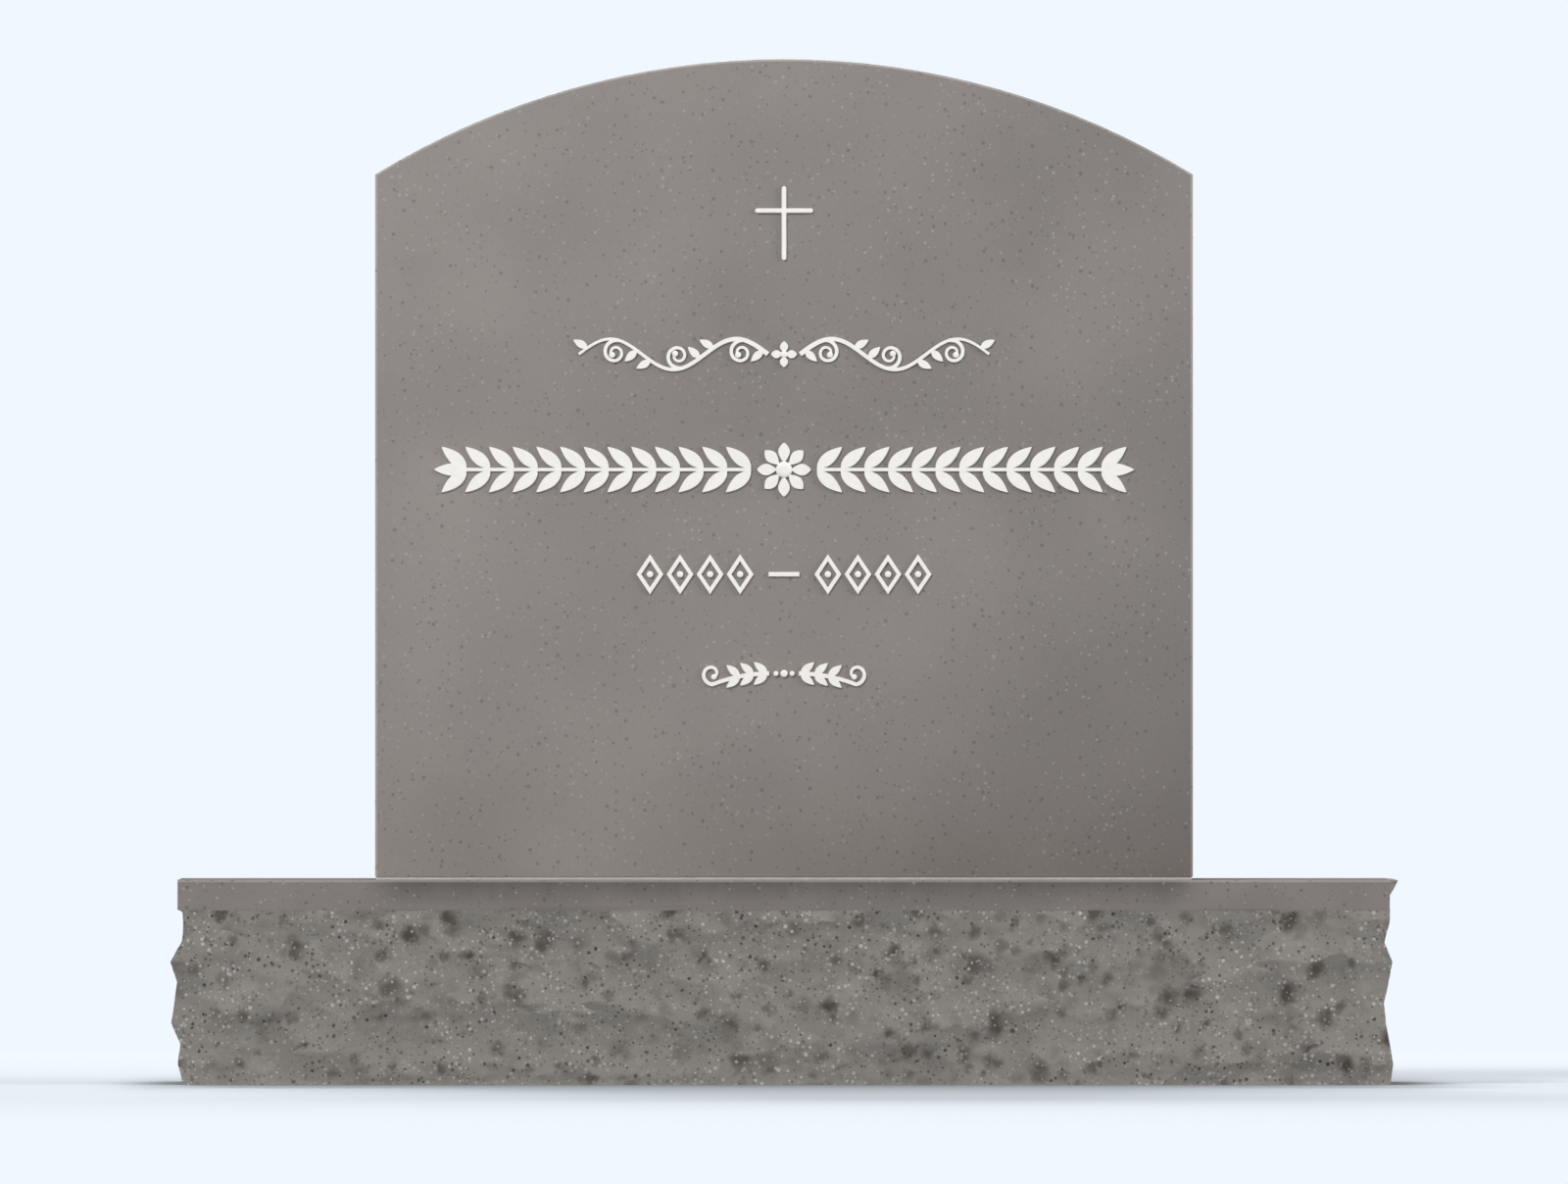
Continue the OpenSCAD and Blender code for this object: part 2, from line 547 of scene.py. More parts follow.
@dataclass(frozen=True)
class TabletGranite(Granite):
    """The tablet's honed granite, with painted shade that darkens it towards its lower right.

    Attributes:
        middle: Height about which the painted shade drifts.
        reach: Distance from the middle to an edge.
        across: Painted shade: fall of tone to the right, for each reach.
        down: Painted shade: fall of tone downwards, for each reach.
        corner: Further painted shade towards the lower right corner.
        corner_from: How far along the diagonal that fall begins, in reaches.
        foot: Painted light: rise of tone towards the foot, against the shade near the base.
        foot_from: How far below the middle that rise begins, in reaches.
        edge_highlight: How much lighter the painted highlight makes the eased edges, as a share.
    """

    middle: float = 0.437
    reach: float = 0.3048
    across: float = 0.081
    down: float = -0.067
    corner: float = 0.168
    corner_from: float = 0.4
    foot: float = 2.6
    foot_from: float = 0.7
    edge_highlight: float = 0.52

    def drift(self, sheet: Sheet) -> Value:
        """Painted shade along the falling diagonal, painted light at the foot and painted highlights on the
        eased edges.

        Args:
            sheet: The material's sheet.

        Returns:
            The factor on the tone.
        """
        x, _, z = sheet.split(sheet.place)
        right = sheet.math("DIVIDE", x, self.reach)
        low = sheet.math("DIVIDE", sheet.math("SUBTRACT", self.middle, z), self.reach)
        along = sheet.math("ADD", right, low)
        # Painted shade: the tone falls to the right, downwards, and most towards the lower right corner.
        fall = sheet.product(sheet.past(along, self.corner_from), self.corner)
        fall = sheet.math("MULTIPLY_ADD", right, self.across, fall)
        fall = sheet.math("MULTIPLY_ADD", low, self.down, fall)
        # Painted light: the tone rises again towards the foot.
        fall = sheet.math("MULTIPLY_ADD", sheet.past(low, self.foot_from), -self.foot, fall)
        tone = sheet.math("EXPONENT", sheet.product(fall, -1.0))
        # Painted highlight: the eased edges are made lighter.
        return sheet.product(tone, sheet.math("MULTIPLY_ADD", sheet.edges(1, 0.2), self.edge_highlight, 1.0))


@dataclass(frozen=True)
class DressedGranite(Granite):
    """The base's dressed granite, with a painted shadow below the tablet.

    Attributes:
        top: Height of the dressed top.
        half: Half the width of the tablet.
        starts: How far below the top the painted shadow is at its darkest.
        shadow_fade: How far down the margin the painted shadow fades out.
        painted_shadow: How much darker the painted shadow makes the stone, as a share.
        edge_highlight: How much lighter the painted highlight makes the eased edges, as a share.
    """

    top: float = 0.1524
    half: float = 0.3048
    starts: float = 2.2 * MM
    shadow_fade: float = 21.5 * MM
    painted_shadow: float = 0.44
    edge_highlight: float = 0.3

    def drift(self, sheet: Sheet) -> Value:
        """Painted shadow below the tablet, and painted highlights on the eased edges.

        Args:
            sheet: The material's sheet.

        Returns:
            The factor on the tone.
        """
        x, _, z = sheet.split(sheet.place)
        # Painted shadow of the tablet: darker below it, on the margin and on the top in front of it, streaked
        # by noise.
        aside, below = sheet.math("ABSOLUTE", x), sheet.math("SUBTRACT", self.top, z)
        inside, outside = 22 * MM, 16 * MM
        long = sheet.add("ShaderNodeMapping", {"Vector": sheet.place, "Scale": (1.0, 1.0, 0.15)})
        shadow_streaks = sheet.add("ShaderNodeTexNoise", {"Vector": long, "Scale": 90.0, "Detail": 2.0})
        tablet_shadow = sheet.product(
            sheet.fade(aside, self.half - inside, self.half + outside, at_low=1.0, at_high=0.0),
            sheet.highest(sheet.math("MULTIPLY_ADD", below, -1 / self.shadow_fade, 1.0), 0.0),
            self.painted_shadow,
            sheet.spread(shadow_streaks, 0.9, 1.1),
            sheet.fade(below, 0.0, self.starts, at_low=0.15),
        )
        # Painted highlight: the eased edges of the top are made lighter.
        tone = sheet.math("MULTIPLY_ADD", sheet.edges(2, 0.3), self.edge_highlight, 1.0)
        return sheet.product(tone, sheet.math("SUBTRACT", 1.0, tablet_shadow))


@dataclass(frozen=True)
class Compound:
    """Pale setting compound, tooled off between the stones.

    Attributes:
        name: The material's name.
        tone: Its colour in linear light.
    """

    name: str = "setting_compound"
    tone: Colour = srgb(200, 196, 192)

    def material(self) -> Material:
        """Builds the material.

        Returns:
            The material.
        """
        sheet = Sheet(bpy.data.materials.new(self.name))
        lumps = sheet.noise(6 * MM, detail=3.0)
        sand = sheet.noise(0.8 * MM, shift=0.2)
        colour = sheet.scaled(self.tone, sheet.spread(lumps, 0.92, 1.05))
        normal = sheet.bump(sheet.math("ADD", lumps, sand), 0.15 * MM)
        return sheet.close(colour, 0.8, normal, gloss=0.2)


@dataclass(frozen=True)
class RaisedWhite:
    """Warm white enamel on the raised work, greyer where it meets the stone.

    Attributes:
        name: The material's name.
        tone: Its colour in linear light.
        root: Its colour where it meets the stone.
        face: Distance from the middle plane to the tablet's face.
    """

    name: str = "raised_white"
    tone: Colour = srgb(246, 243, 238)
    root: Colour = srgb(178, 173, 168)
    face: float = 0.0762

    def material(self) -> Material:
        """Builds the material.

        Returns:
            The material.
        """
        sheet = Sheet(bpy.data.materials.new(self.name))
        proud = sheet.math("SUBTRACT", sheet.math("ABSOLUTE", sheet.split(sheet.place)[1]), self.face)
        foot = sheet.fade(proud, 0.2 * MM, 0.9 * MM, at_low=0.55, at_high=0.0)
        brushed = sheet.noise(5 * MM, detail=3.0, shift=0.1)
        colour = sheet.scaled(sheet.mix(foot, self.tone, self.root), sheet.spread(brushed, 0.97, 1.0))
        rough = sheet.spread(brushed, 0.38, 0.52)
        return sheet.close(colour, rough, sheet.bump(brushed, 0.08 * MM), gloss=0.4)


class Finish(Enum):
    """The finishes that the pieces are given."""

    TABLET = TabletGranite(
        name="tablet_granite",
        tone=(0.2618, 0.2364, 0.2185),
        dark=(
            Specks(7.2 * MM, 1.15 * MM, 0.42, 0.11, 0.4 * MM, 0.5),
            Specks(4.8 * MM, 0.85 * MM, 0.3, 0.71, 0.3 * MM, 0.5),
        ),
        light=(Specks(5.6 * MM, 1.0 * MM, 0.33, 0.37, 0.4 * MM, 0.5, 40 * MM),),
        clouds=(
            Clouds(0.22, 0.055, (-9.489, 8.876, -9.02)),
            Clouds(0.12, 0.034, (0.2, 6.076, -7.623)),
            Clouds(0.09, 0.03, (-0.426, 2.776, 9.191)),
        ),
        roughness=0.55,
        gloss=0.25,
    )
    DRESSED = DressedGranite(
        name="dressed_granite",
        tone=srgb(133, 127, 123),
        dark=(
            Specks(6.8 * MM, 1.1 * MM, 0.5, 0.11, 0.4 * MM, 0.5),
            Specks(5.2 * MM, 0.8 * MM, 0.35, 0.71, 0.3 * MM, 0.5),
        ),
        light=(Specks(6.4 * MM, 0.95 * MM, 0.21, 0.37, 0.4 * MM, 0.5),),
        clouds=(Clouds(0.05, 0.04, (0.7, 1.4, 2.1)),),
        roughness=0.75,
        gloss=0.0,
    )
    ROCK = Granite(
        name="rock_granite",
        tone=srgb(134, 130, 124),
        dark=(
            Specks(24 * MM, 6.6 * MM, 0.84, 0.41, 7 * MM, 1.4),
            Specks(17 * MM, 4.4 * MM, 0.66, 0.67, 5 * MM, 1.4),
            Specks(5.0 * MM, 1.25 * MM, 0.9, 0.21, 0.5 * MM, 0.4, 30 * MM),
            Specks(4.0 * MM, 0.8 * MM, 0.7, 0.83, 0.3 * MM, 0.4),
        ),
        light=(
            Specks(5.1 * MM, 1.25 * MM, 0.6, 0.57, 0.5 * MM, 0.4, 36 * MM),
            Specks(4.1 * MM, 0.85 * MM, 0.5, 0.93, 0.3 * MM, 0.4, 26 * MM),
            Specks(27 * MM, 6.2 * MM, 0.13, 0.29, 7 * MM, 1.4),
        ),
        dark_tone=srgb(60, 50, 43),
        clouds=(Clouds(0.03, 0.02, (0.7, 1.4, 2.1)),),
        grain_depth=0.3 * MM,
        roughness=0.85,
        gloss=0.2,
    )
    COMPOUND = Compound()
    WHITE = RaisedWhite()


def paint(piece: Piece, *finishes: Finish) -> None:
    """Gives a piece finishes in place of those that it has.

    Args:
        piece: The piece.
        finishes: The finishes, of which the first is on all its faces.
    """
    piece.data.materials.clear()
    for finish in finishes:
        piece.data.materials.append(finish.value.material())


# ---- stones


class Part(Enum):
    """Which way a face of the base stone was worked."""

    TOP = 0
    BED = 1
    MARGIN = 2
    ARRIS = 3
    ROCK = 4


@dataclass
class BaseStone:
    """The long base stone: sawn bed and top, a dressed margin, and rock face below.

    Attributes:
        margin: Height of the dressed margin.
        proud: How far the rock may stand out past the margin.
        eased: How far below the margin the breaks reach their full depth.
        cuts: Cuts across each broken facet, for the finer breaks.
        flake: Size and depth of the flakes.
        crystal: Size and depth of the crystals.
        left_outline: Heights, and how far the left end may stand out past the margin there.
        right_outline: The same of the right end.
        low: Lowest corner of the stone's box.
        high: Highest corner of it.
        stone: The piece.
    """

    margin: float = 22.6 * MM
    proud: float = 5.8 * MM
    eased: float = 16 * MM
    cuts: int = 3
    flake: Point = (11 * MM, 0.8 * MM)
    crystal: Point = (3.2 * MM, 0.5 * MM)
    left_outline: Sequence[Point] = (
        *millimetres((0, -3.6), (16, 0.6), (30, -0.8), (48, 5.8), (77, 2)),
        *millimetres((92, 5.8), (107, -2.4), (115, -3.4), (129.5, -3.4), (129.8, 0)),
    )
    right_outline: Sequence[Point] = (
        *millimetres((0, 0.4), (16, 3), (45, -3), (54, -3.8), (62, -3.8)),
        *millimetres((92, 2.2), (106, -3.8), (120, -0.4), (141, 0), (152.4, 5.8)),
    )
    low: Vector = field(init=False)
    high: Vector = field(init=False)
    stone: Piece = field(init=False)

    def __post_init__(self) -> None:
        """Takes the stone and its box from the frame."""
        self.low, self.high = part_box("base")
        self.stone = take_node("base", "base_stone")

    @property
    def dressed_end(self) -> float:
        """Distance from the middle to either end of the dressed part."""
        return self.high.x - self.proud

    def part_of(self, face: Face) -> Part:
        """Tells how a face was worked.

        Args:
            face: A face of the stone.

        Returns:
            The kind of work.
        """
        flat = 0.9999
        slope = 1 / math.sqrt(2)
        likeness = 0.001
        end, side = self.dressed_end, self.high.y - self.proud
        normal, centre = face.normal, face.center
        if normal.z > flat and abs(centre.z - self.high.z) < HAIR / 5 and centre.x < end:
            return Part.TOP
        if normal.z < -flat and abs(centre.z - self.low.z) < HAIR / 5:
            return Part.BED
        if centre.z < self.high.z - self.margin or centre.x > end:
            return Part.ROCK
        on_side = abs(normal.y) > flat and abs(abs(centre.y) - side) < HAIR
        on_end = normal.x < -flat and abs(centre.x + end) < HAIR
        if on_side or on_end:
            return Part.MARGIN
        slanted = abs(normal.z - slope) < likeness and min(abs(normal.x), abs(normal.y)) < likeness
        return Part.ARRIS if slanted else Part.ROCK

    def square_top(self) -> None:
        """Takes the eased edge off the left end of the dressed top."""
        for vertex in self.stone.data.vertices:
            if vertex.co.z > self.high.z - HAIR and vertex.co.x < ARRIS - self.dressed_end:
                vertex.co.x = -self.dressed_end

    def part_tip(self) -> None:
        """Cuts the dressed faces where the broken right end stands out past them."""
        select_faces(self.stone, lambda face: face.center.z > self.high.z - self.margin)
        bpy.ops.mesh.bisect(plane_co=(self.dressed_end, 0.0, 0.0), plane_no=(1.0, 0.0, 0.0))
        set_mode("OBJECT")

    def trim_ends(self) -> None:
        """Trims each end to its outline."""
        for vertex in self.stone.data.vertices:
            outline = self.right_outline if vertex.co.x > 0 else self.left_outline
            limit = self.dressed_end + level(outline, vertex.co.z)
            if abs(vertex.co.x) > limit:
                vertex.co.x = math.copysign(limit, vertex.co.x)

    def merge_flats(self) -> None:
        """Makes each dressed plane one face."""
        front, left, up = Vector((0.0, -1.0, 0.0)), Vector((-1.0, 0.0, 0.0)), Vector((0.0, 0.0, 1.0))
        sides = ((Part.MARGIN, front), (Part.MARGIN, -front), (Part.MARGIN, left))
        for part, way in ((Part.TOP, up), (Part.BED, -up), *sides):

            def in_plane(face: Face, part: Part = part, way: Vector = way) -> bool:
                """Whether a face belongs to the plane."""
                return face.normal.dot(way) > 0.5 and self.part_of(face) is part

            if select_faces(self.stone, in_plane) > 1:
                bpy.ops.mesh.dissolve_faces(use_verts=False)
        set_mode("OBJECT")

    def break_rock(self) -> None:
        """Cuts the broken facets finer and breaks them into flakes and crystals."""
        stone = self.stone
        select_faces(stone, lambda face: self.part_of(face) is Part.ROCK)
        bpy.ops.mesh.subdivide(number_cuts=self.cuts, smoothness=0.0)
        set_mode("OBJECT")
        self.trim_ends()
        dressed = [face for face in stone.data.polygons if self.part_of(face) is not Part.ROCK]
        held = {corner for face in dressed for corner in face.vertices}
        line, shallow = self.high.z - self.margin, 0.15
        group = stone.vertex_groups.new(name="rock")
        for vertex in stone.data.vertices:
            below = min(1.0, max(0.0, line - vertex.co.z) / self.eased)
            if vertex.index not in held:
                group.add([vertex.index], shallow + (1 - shallow) * below, "REPLACE")
        self.roughen("CLOUDS", *self.flake)
        self.roughen("VORONOI", *self.crystal)
        stone.vertex_groups.clear()
        for vertex in stone.data.vertices:
            vertex.co.y = min(max(vertex.co.y, self.low.y), self.high.y)

    def roughen(self, pattern: str, size: float, depth: float) -> None:
        """Sinks the rock by a pattern, never raising it past its outline.

        Args:
            pattern: The kind of pattern.
            size: Size of the pattern.
            depth: The deepest it sinks.
        """
        texture = bpy.data.textures.new(f"rock_{pattern.lower()}", pattern)
        texture.noise_scale = size
        sink = {"texture": texture, "texture_coords": "LOCAL", "mid_level": 1.0, "strength": depth}
        modify(self.stone, "DISPLACE", vertex_group="rock", **sink)

    def dress(self) -> None:
        """Gives the dressed faces and the rock their finishes."""
        paint(self.stone, Finish.ROCK, Finish.DRESSED)
        select_faces(self.stone, lambda face: self.part_of(face) is not Part.ROCK)
        self.stone.active_material_index = 1
        bpy.ops.object.material_slot_assign()
        set_mode("OBJECT")

    def build(self) -> None:
        """Builds the stone."""
        self.square_top()
        self.part_tip()
        self.merge_flats()
        self.break_rock()
        self.dress()
        smooth(self.stone, 38)
        finish_piece(self.stone, "base_granite", "base")


@dataclass
class TabletStone:
    """The upright stone with the curved top, honed all round with eased edges.

    Attributes:
        ease: Width of the small round on each edge.
    """

    ease: float = 0.35 * MM

    def build(self) -> None:
        """Builds the stone."""
        stone = take_node("tablet", "tablet_stone")
        edge = math.radians(25)
        modify(stone, "BEVEL", width=self.ease, segments=2, limit_method="ANGLE", angle_limit=edge)
        smooth(stone, 20)
        paint(stone, Finish.TABLET)
        finish_piece(stone, "tablet_granite", "tablet")


def dress_node(node: str, finish: Finish) -> None:
    """Gives a construction node its finish."""
    frame["nodes"][node].material_slots[0].material = finish.value.material()
    LOG.info("%s: dressed", node)


# ---- raised ornaments


def ribbon(path: Sequence[Point], thick: float, thin: float) -> list[Point]:
    """Outline of a strand along a path, thick at its start and thin at its end.

    Args:
        path: Points from the row's middle, as x and z.
        thick: Half the width at the start.
        thin: Half the width at the end.

    Returns:
        The outline.
    """
    last = len(path) - 1
    left: list[Point] = []
    right: list[Point] = []
    for index, (x, z) in enumerate(path):
        before = path[max(index - 1, 0)]
        after = path[min(index + 1, last)]
        run = math.dist(before, after)
        across = (before[1] - after[1]) / run, (after[0] - before[0]) / run
        reach = thick + (thin - thick) * index / last
        left.append((x + reach * across[0], z + reach * across[1]))
        right.append((x - reach * across[0], z - reach * across[1]))
    return left + right[::-1]


def curl(centre: Point, radius: float, start: float, end: float, shrink: float, steps: int) -> list[Point]:
    """Points along a spiral.

    Args:
        centre: The middle, as x and z.
        radius: The radius at the start.
        start: The angle at the start.
        end: The angle at the end.
        shrink: The last radius as a share of the first.
        steps: How many steps it takes.

    Returns:
        The points.
    """
    points = []
    for step in range(steps + 1):
        share = step / steps
        angle = start + (end - start) * share
        reach = radius * shrink**share
        points.append((centre[0] + reach * math.cos(angle), centre[1] + reach * math.sin(angle)))
    return points


def leaf_pair(side: int, foot: Point, spread: float, gap: float = 0.0) -> list[Place]:
    """Places for two leaves, above and below a stem on the right (side 1) or the left (side -1)."""
    ahead = 0.0 if side > 0 else math.pi
    return [((side * foot[0], foot[1] + way * gap), ahead + side * way * spread) for way in (1, -1)]


@dataclass
class Relief(ABC):
    """A row of raised ornament on the tablet's face, flat in front with eased edges.

    Attributes:
        name: The piece's name.
        drop: From the crown down to the row's middle.
        half: Half the row's width.
        tall: The row's height.
        proud: How far it stands out.
        seat: How deep it is let into the stone.
        ease: Width of its eased edges.
        spread: Angle of a leaf from its stem.
        parts: The parts laid so far.
    """

    name: str
    drop: float
    half: float
    tall: float
    proud: float = 2.0 * MM
    seat: float = 0.4 * MM
    ease: float = 0.35 * MM
    spread: float = math.radians(40)
    parts: list[Piece] = field(default_factory=list, init=False)

    @property
    def deep(self) -> float:
        """The row's whole thickness."""
        return self.proud + self.seat

    def plate(self, *outlines: Sequence[Point]) -> Piece:
        """Cuts a flat plate with eased edges, which lies with its back on the plane z = 0.

        Args:
            outlines: Its outline, and the outlines of its holes, as x and y.

        Returns:
            The plate.
        """
        shape = bpy.data.curves.new("plate", "CURVE")
        shape.dimensions = "2D"
        shape.fill_mode = "BOTH"
        shape.bevel_depth = self.ease
        shape.bevel_resolution = 1
        shape.offset = -self.ease
        shape.extrude = self.deep / 2 - self.ease
        for outline in outlines:
            spline = shape.splines.new("POLY")
            spline.points.add(len(outline) - 1)
            for point, (x, y) in zip(spline.points, outline):
                point.co = (x, y, 0.0, 1.0)
            spline.use_cyclic_u = True
        plate = bpy.data.objects.new("plate", shape)
        bpy.context.collection.objects.link(plate)
        plate.location.z = self.deep / 2
        activate(plate)
        bpy.ops.object.convert(target="MESH")
        plate = bpy.context.object
        settle(plate)
        weld(plate, 0.001 * MM)
        return plate

    def lay(self, part: Piece, at: Point = (0.0, 0.0), turn: float = 0.0) -> None:
        """Sets a part on the tablet's face.

        Args:
            part: A part that lies with its back on the plane z = 0.
            at: Where its origin goes, from the row's middle, as x and z.
            turn: How far it is turned, counted from +X towards +Z.
        """
        tablet_low, tablet_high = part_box("tablet")
        part.rotation_euler = (math.pi / 2, -turn, 0.0)
        part.location = (at[0], tablet_low.y + self.seat, tablet_high.z - self.drop + at[1])
        self.parts.append(part)

    def lay_copies(self, mould: Piece, places: Sequence[Place]) -> None:
        """Sets copies of a part and then the part itself.

        Args:
            mould: The part.
            places: Where each goes and how far it is turned.
        """
        for at, turn in places[1:]:
            self.lay(copy_of(mould), at, turn)
        self.lay(mould, *places[0])

    def lay_petals(self, count: int, size: Point, widest: float, root: float) -> None:
        """Sets a ring of petals round the row's middle.

        Args:
            count: How many petals.
            size: From the middle to a petal's tip, and a petal's width.
            widest: Where a petal is widest, as a share of its length.
            root: From the middle to a petal's root.
        """
        turns = [math.tau * step / count for step in range(count)]
        places = [((root * math.cos(turn), root * math.sin(turn)), turn) for turn in turns]
        self.lay_copies(self.leaf(size[0] - root, size[1], widest), places)

    def leaf(self, length: float, width: float, widest: float = 0.42) -> Piece:
        """Models a pointed leaf along +X, with a groove down its rib.

        Args:
            length: Its length.
            width: Its width.
            widest: Where it is widest, as a share of its length.

        Returns:
            The leaf.
        """
        lean = math.log(0.5) / math.log(widest)
        plump = 0.9
        steps = 14
        halves = []
        for side, lap in ((1, 0.45 * self.ease), (-1, 0.25 * self.ease)):
            edge = [(0.0, -side * lap)]
            for step in range(1, steps):
                share = step / steps
                reach = width / 2 * math.sin(math.pi * share**lean) ** plump
                edge.append((length * share, side * (reach - lap)))
            edge.append((length - 2 * lap, -side * lap))
            halves.append(self.plate(edge))
        return join("leaf", halves)

    def bead(self, radius: float) -> Piece:
        """Models a round bead with a domed face.

        Args:
            radius: Its radius.

        Returns:
            The bead.
        """
        middle = (0.0, 0.0, self.deep / 2)
        bpy.ops.mesh.primitive_cylinder_add(vertices=28, radius=radius, depth=self.deep, location=middle)
        bead = bpy.context.object
        settle(bead)
        rings = 4
        dome = 0.35
        narrower = 0.06
        for ring in range(1, rings):
            select_faces(bead, lambda face: face.normal.z > 0.99)
            now = math.cos(math.asin(ring / rings))
            before = math.cos(math.asin((ring - 1) / rings))
            bpy.ops.mesh.inset(thickness=radius * (before - now) + narrower * radius)
            bpy.ops.transform.translate(value=(0.0, 0.0, radius * dome / rings))
            set_mode("OBJECT")
        return bead

    @abstractmethod
    def carve(self) -> None:
        """Lays the row's parts."""

    def build(self) -> None:
        """Lays the row's parts, fuses them into one skin and finishes it."""
        self.carve()
        row = join(self.name, self.parts)
        set_mode("EDIT")
        bpy.ops.mesh.select_all(action="SELECT")
        bpy.ops.mesh.intersect_boolean(operation="UNION", use_self=True, solver="EXACT")
        bpy.ops.mesh.select_all(action="SELECT")
        bpy.ops.mesh.dissolve_limited(angle_limit=math.radians(0.5))
        set_mode("OBJECT")
        smooth(row, 35)
        modify(row, "WEIGHTED_NORMAL", keep_sharp=True)
        paint(row, Finish.WHITE)
        finish_piece(row, "raised_white")


@dataclass
class Flourish(Relief):
    """A slender vine with a tendril in every bend, mirrored about a small flower.

    Attributes:
        waves: Half waves of the vine on each side.
        start: Where the vine starts, from the row's middle.
        strand: Half the width of the vine.
    """

    waves: int = 3
    start: float = 12 * MM
    strand: float = 1.8 * MM

    def carve(self) -> None:
        """Lays the vine, its tendrils and leaves, and the flower."""
        steps = 24
        bend = (self.half - self.start) / self.waves
        rise = self.tall * 0.38
        leaves: list[Place] = []
        for side in (1, -1):
            vine = []
            for step in range(steps * self.waves + 1):
                share = step / steps
                vine.append((side * (self.start + bend * share), rise * math.sin(math.pi * share)))
            self.lay(self.plate(ribbon(vine, thick=self.strand, thin=0.55 * self.strand)))
            for wave in range(self.waves):
                leaves += self.tendril(side, self.start + bend * wave, bend, rise if wave % 2 == 0 else -rise)
        self.lay_copies(self.leaf(length=12.5 * MM, width=6 * MM), leaves)
        self.lay_petals(4, size=(10 * MM, 6.4 * MM), widest=0.52, root=0.9 * MM)
        self.lay(self.bead(radius=2.6 * MM))

    def tendril(self, side: int, start: float, bend: float, rise: float) -> list[Place]:
        """Curls a tendril off the vine inside a bend, and finds places for leaves beside it.

        Args:
            side: 1 on the right of the row, -1 on the left.
            start: Where the bend starts, from the row's middle.
            bend: Length of the bend.
            rise: Height of the bend, negative where it hangs down.

        Returns:
            Where its leaves go and how far each is turned.
        """
        way = 1 if rise > 0 else -1
        radius = abs(rise) * 0.84
        share = 0.36
        lean = math.atan(abs(rise) * math.pi / bend * math.cos(math.pi * share))
        root = (start + bend * share, abs(rise) * math.sin(math.pi * share))
        middle = (root[0] + radius * math.sin(lean), root[1] - radius * math.cos(lean))
        spiral = curl(middle, radius, math.pi / 2 + lean, -math.pi * 2.2, shrink=0.3, steps=60)
        spiral = [(side * x, way * z) for x, z in spiral]
        self.lay(self.plate(ribbon(spiral, thick=0.8 * self.strand, thin=0.5 * self.strand)))
        self.lay(self.bead(radius=1.25 * self.strand), spiral[-1])
        leaves = []
        for place, turn in ((0.08, -0.75), (0.86, 0.5)):
            foot = (side * (start + bend * place), way * abs(rise) * math.sin(math.pi * place))
            leaves.append((foot, turn * way if side > 0 else math.pi - turn * way))
        return leaves


@dataclass
class Garland(Relief):
    """A bold row of laurel leaves that runs out both ways from a rosette.

    Attributes:
        pairs: Pairs of leaves on each side.
        rosette: Radius of the rosette.
        leaf_size: Length and width of a leaf.
        stem: Half the width of the stem.
    """

    pairs: int = 13
    rosette: float = 20.5 * MM
    leaf_size: Point = (25 * MM, 9.6 * MM)
    stem: float = 1.3 * MM

    def carve(self) -> None:
        """Lays the stems, their leaves and the rosette."""
        clear, lap = 4 * MM, 2 * MM
        first = self.rosette + clear
        last = self.half - self.leaf_size[0]
        pitch = (last - first) / (self.pairs - 1)
        places: list[Place] = []
        for side in (1, -1):
            for pair in range(self.pairs):
                places += leaf_pair(side, (first + pitch * pair, 0.0), self.spread, gap=1.2 * MM)
            tip = side * last
            places.append(((tip, 0.0), 0.0 if side > 0 else math.pi))
            stem = [(side * first, 0.0), (tip + side * lap, 0.0)]
            self.lay(self.plate(ribbon(stem, thick=self.stem, thin=self.stem)))
        self.lay_copies(self.leaf(*self.leaf_size), places)
        self.lay_petals(8, size=(self.rosette, 9.0 * MM), widest=0.56, root=4.4 * MM)
        self.lay(self.bead(radius=6.0 * MM))


@dataclass
class Lozenges(Relief):
    """Two groups of open lozenges with a dash between them.

    Attributes:
        count: Lozenges in a group.
        pitch: Distance between lozenges.
        border: Width of a lozenge's border.
        dash: Length and height of the dash.
    """

    count: int = 4
    pitch: float = 22.4 * MM
    border: float = 3.0 * MM
    dash: Point = (23 * MM, 3.4 * MM)

    def carve(self) -> None:
        """Lays the lozenges with their beads, and the dash."""
        wide = self.pitch * 0.45
        high = self.tall / 2
        inner = 1 - self.border * math.hypot(wide, high) / (wide * high)
        corners = ((wide, 0.0), (0.0, high), (-wide, 0.0), (0.0, -high))
        lozenge = self.plate(corners, [(x * inner, y * inner) for x, y in corners])
        across = [self.half - wide - self.pitch * place for place in range(self.count)]
        middles = [((side * x, 0.0), 0.0) for side in (1, -1) for x in across]
        self.lay_copies(lozenge, middles)
        self.lay_copies(self.bead(radius=2.4 * MM), middles)
        half, rise = self.dash[0] / 2, self.dash[1] / 2
        self.lay(self.plate([(-half, -rise), (half, -rise), (half, rise), (-half, rise)]))


